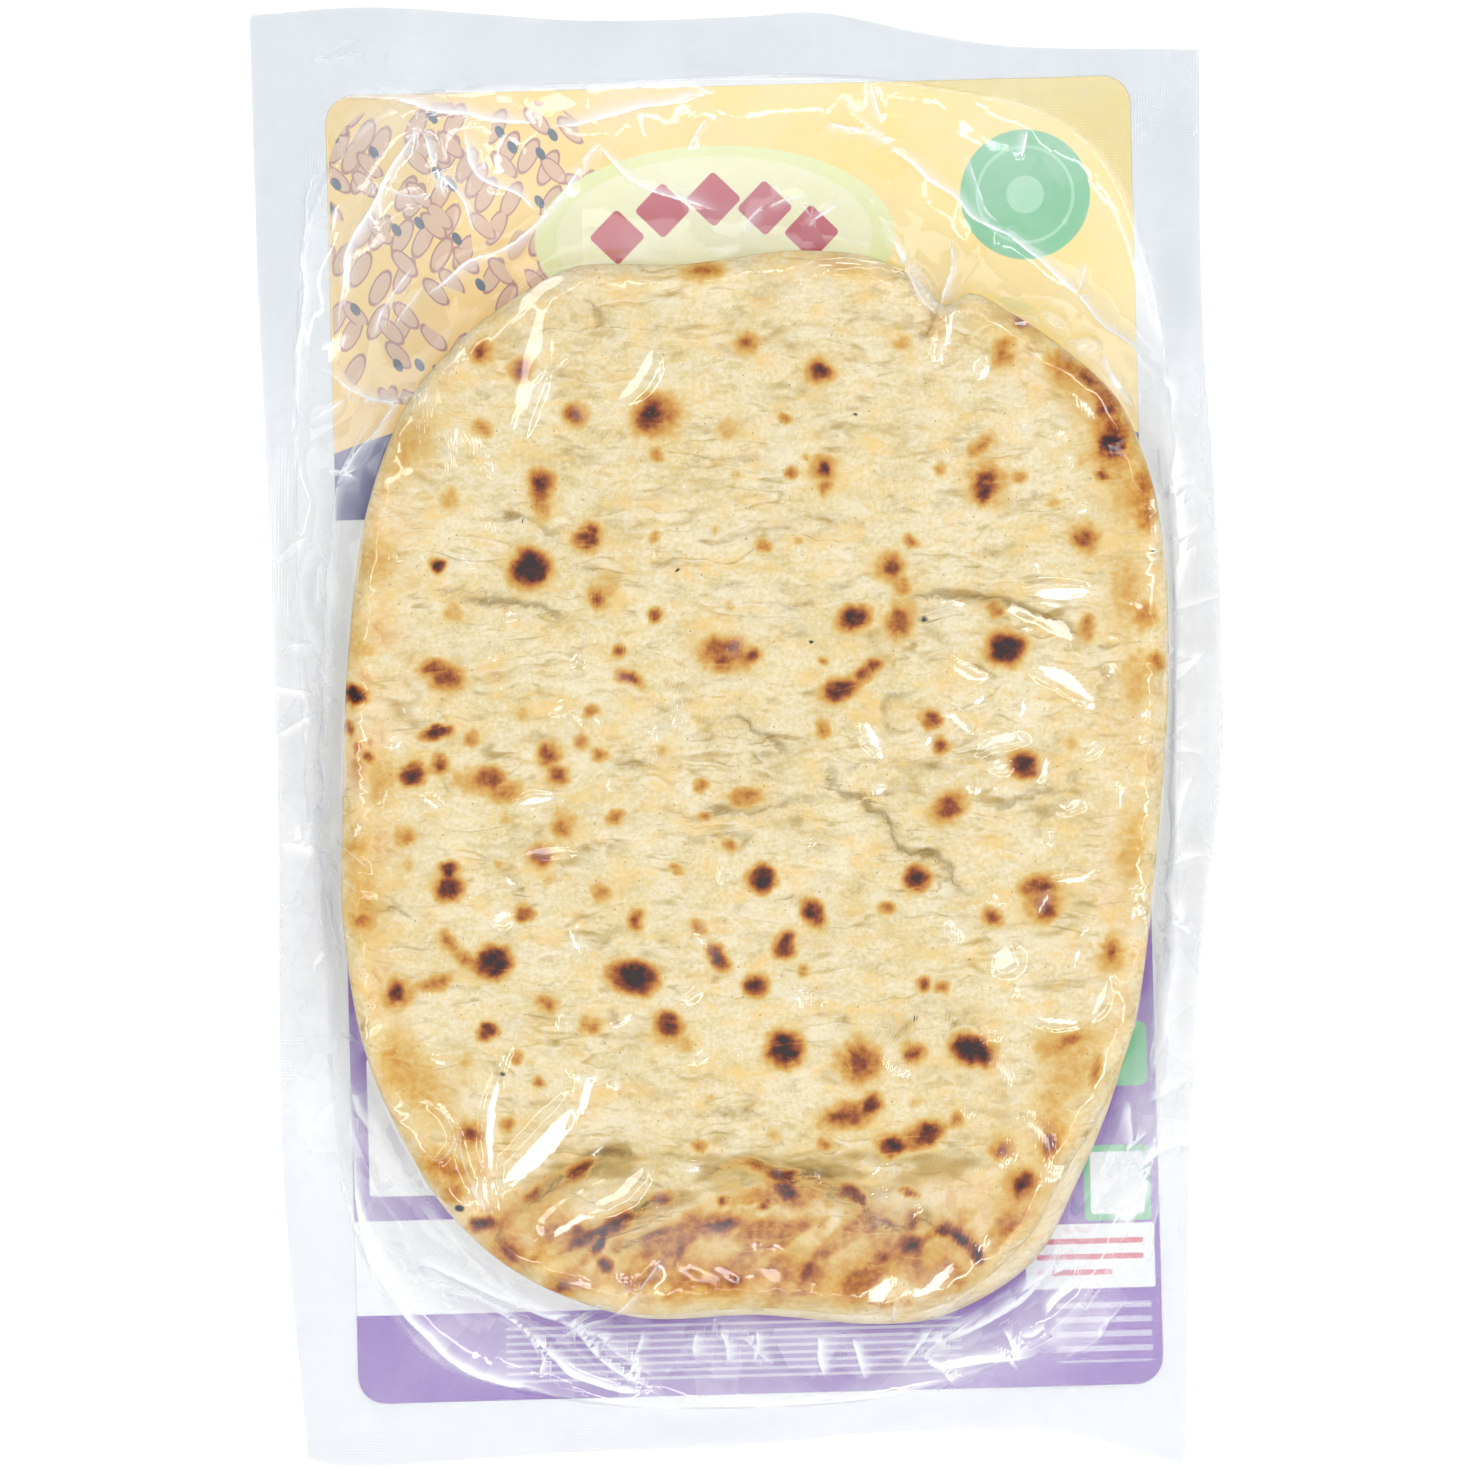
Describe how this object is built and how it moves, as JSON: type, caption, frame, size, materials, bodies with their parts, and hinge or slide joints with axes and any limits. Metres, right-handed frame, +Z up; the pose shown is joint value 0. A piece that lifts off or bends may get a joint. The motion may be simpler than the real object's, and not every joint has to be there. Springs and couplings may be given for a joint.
{
  "type": "sealed pack of naan bread",
  "caption": "Oval naan breads with toasted spots, stacked in a clear heat-sealed pack with a printed back film and a flat border.",
  "frame": {"origin": "middle of the pack's length and width, on the underside of the printed film, where the pack lies on the table", "axes": "+X to the right and +Y to the pack's upper end as seen from the clear side, +Z up out of the clear side"},
  "size_m": [0.1752, 0.2623, 0.022],
  "materials": {
    "bread": "matte",
    "clear_film": "gloss",
    "printed_film": "gloss"
  },
  "bodies": {
    "root": {"clear_bag": "bread", "printed_film": "printed_film"}
  },
  "joints": []
}
